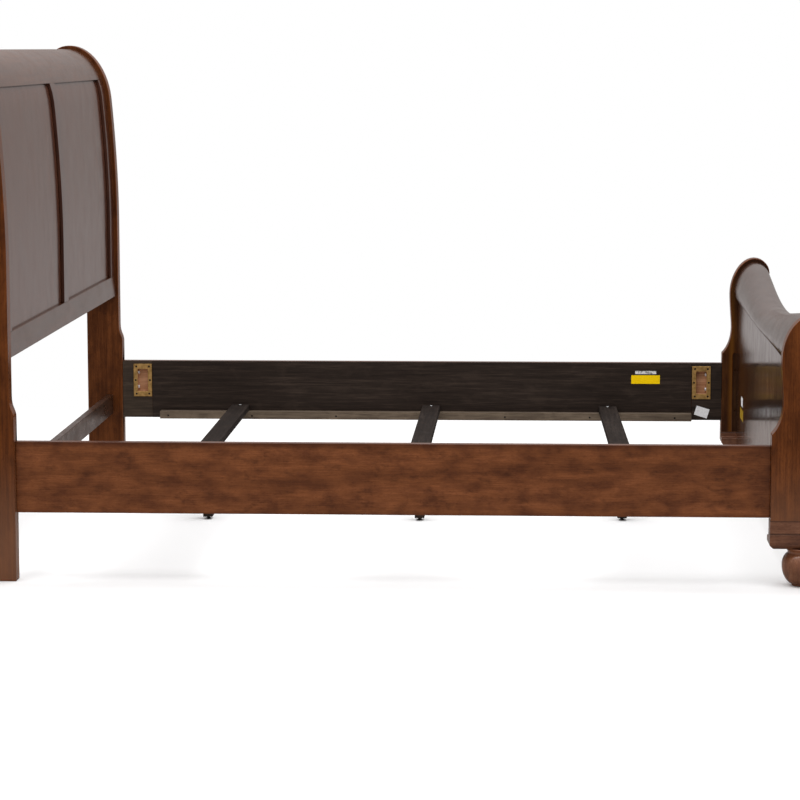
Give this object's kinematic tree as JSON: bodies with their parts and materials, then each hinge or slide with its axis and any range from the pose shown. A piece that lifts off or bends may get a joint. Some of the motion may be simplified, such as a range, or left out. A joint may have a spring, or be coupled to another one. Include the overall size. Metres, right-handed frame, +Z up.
{
  "type": "sleigh bed",
  "caption": "King-size sleigh bed frame with scrolled headboard, scooped footboard, bolted side rails, slats and bun feet.",
  "frame": {"origin": "on the floor, under the middle of the bed's overall length and width", "axes": "+X from headboard to footboard, +Y across the bed to the right-hand rail, +Z up"},
  "size_m": [2.5264, 2.098, 1.479],
  "materials": {
    "stained_solid_wood": "satin lacquer over reddish brown stain",
    "veneered_panel": "semi-gloss lacquer over stained veneer",
    "dark_stained_wood": "dull dark stain",
    "brass_plated_steel": "brushed brass plate",
    "zinc_plated_steel": "bright zinc plate",
    "black_zinc_steel": "black zinc plate",
    "black_plastic": "moulded"
  },
  "bodies": {
    "root": {"headboard_post_left": "stained_solid_wood", "headboard_post_right": "stained_solid_wood", "headboard_crest_rail": "veneered_panel", "headboard_panel_left": "veneered_panel", "headboard_panel_right": "veneered_panel", "headboard_bottom_rail": "stained_solid_wood", "headboard_centre_stile": "stained_solid_wood", "headboard_end_stile_left": "stained_solid_wood", "headboard_end_stile_right": "stained_solid_wood", "headboard_stretcher": "dark_stained_wood", "footboard_post_left": "stained_solid_wood", "footboard_post_right": "stained_solid_wood", "footboard_crest_rail": "veneered_panel", "footboard_panel": "veneered_panel", "footboard_base_rail": "stained_solid_wood", "footboard_plinth_left": "stained_solid_wood", "footboard_base_band_left": "stained_solid_wood", "bun_foot_left": "stained_solid_wood", "bun_foot_hanger_bolt_left": "zinc_plated_steel", "footboard_plinth_right": "stained_solid_wood", "footboard_base_band_right": "stained_solid_wood", "bun_foot_right": "stained_solid_wood", "bun_foot_hanger_bolt_right": "zinc_plated_steel", "side_rail_left": "stained_solid_wood", "slat_cleat_left": "dark_stained_wood", "side_rail_right": "stained_solid_wood", "slat_cleat_right": "dark_stained_wood", "rail_plate_head_left": "brass_plated_steel", "post_plate_head_left": "zinc_plated_steel", "bed_bolt_head_left_lower": "zinc_plated_steel", "bed_bolt_head_left_upper": "zinc_plated_steel", "rail_plate_foot_left": "brass_plated_steel", "post_plate_foot_left": "zinc_plated_steel", "bed_bolt_foot_left_lower": "zinc_plated_steel", "bed_bolt_foot_left_upper": "zinc_plated_steel", "rail_plate_head_right": "brass_plated_steel", "post_plate_head_right": "zinc_plated_steel", "bed_bolt_head_right_lower": "zinc_plated_steel", "bed_bolt_head_right_upper": "zinc_plated_steel", "rail_plate_foot_right": "brass_plated_steel", "post_plate_foot_right": "zinc_plated_steel", "bed_bolt_foot_right_lower": "zinc_plated_steel", "bed_bolt_foot_right_upper": "zinc_plated_steel", "slat_head": "dark_stained_wood", "support_leg_head": "dark_stained_wood", "leg_insert_head": "zinc_plated_steel", "slat_middle": "dark_stained_wood", "support_leg_middle": "dark_stained_wood", "leg_insert_middle": "zinc_plated_steel", "slat_foot": "dark_stained_wood", "support_leg_foot": "dark_stained_wood", "leg_insert_foot": "zinc_plated_steel"},
    "leveller_pad_head": {"leveller_pad_head": "black_plastic"},
    "leveller_stem_head": {"leveller_stem_head": "black_zinc_steel"},
    "leveller_pad_middle": {"leveller_pad_middle": "black_plastic"},
    "leveller_stem_middle": {"leveller_stem_middle": "black_zinc_steel"},
    "leveller_pad_foot": {"leveller_pad_foot": "black_plastic"},
    "leveller_stem_foot": {"leveller_stem_foot": "black_zinc_steel"}
  },
  "joints": [
    {"name": "leveller_height_head", "type": "slide", "parent": "root", "child": "leveller_pad_head", "axis": [0, 0, 1], "range_m": [-0.015, 0]},
    {"name": "leveller_turn_head", "type": "hinge", "parent": "leveller_pad_head", "child": "leveller_stem_head", "pos_m": [-0.59875, 0.018, 0.004], "axis": [0, 0, 1], "range_deg": [-4321, 0.5]},
    {"name": "leveller_height_middle", "type": "slide", "parent": "root", "child": "leveller_pad_middle", "axis": [0, 0, 1], "range_m": [-0.015, 0]},
    {"name": "leveller_turn_middle", "type": "hinge", "parent": "leveller_pad_middle", "child": "leveller_stem_middle", "pos_m": [0.06725, 0.021, 0.004], "axis": [0, 0, 1], "range_deg": [-4321, 0.5]},
    {"name": "leveller_height_foot", "type": "slide", "parent": "root", "child": "leveller_pad_foot", "axis": [0, 0, 1], "range_m": [-0.015, 0]},
    {"name": "leveller_turn_foot", "type": "hinge", "parent": "leveller_pad_foot", "child": "leveller_stem_foot", "pos_m": [0.70125, 0.046, 0.004], "axis": [0, 0, 1], "range_deg": [-4321, 0.5]}
  ],
  "couplings": [
    {"joint": "leveller_turn_head", "follows": "leveller_height_head", "rad_per_m": 5026.5},
    {"joint": "leveller_turn_middle", "follows": "leveller_height_middle", "rad_per_m": 5026.5},
    {"joint": "leveller_turn_foot", "follows": "leveller_height_foot", "rad_per_m": 5026.5}
  ]
}
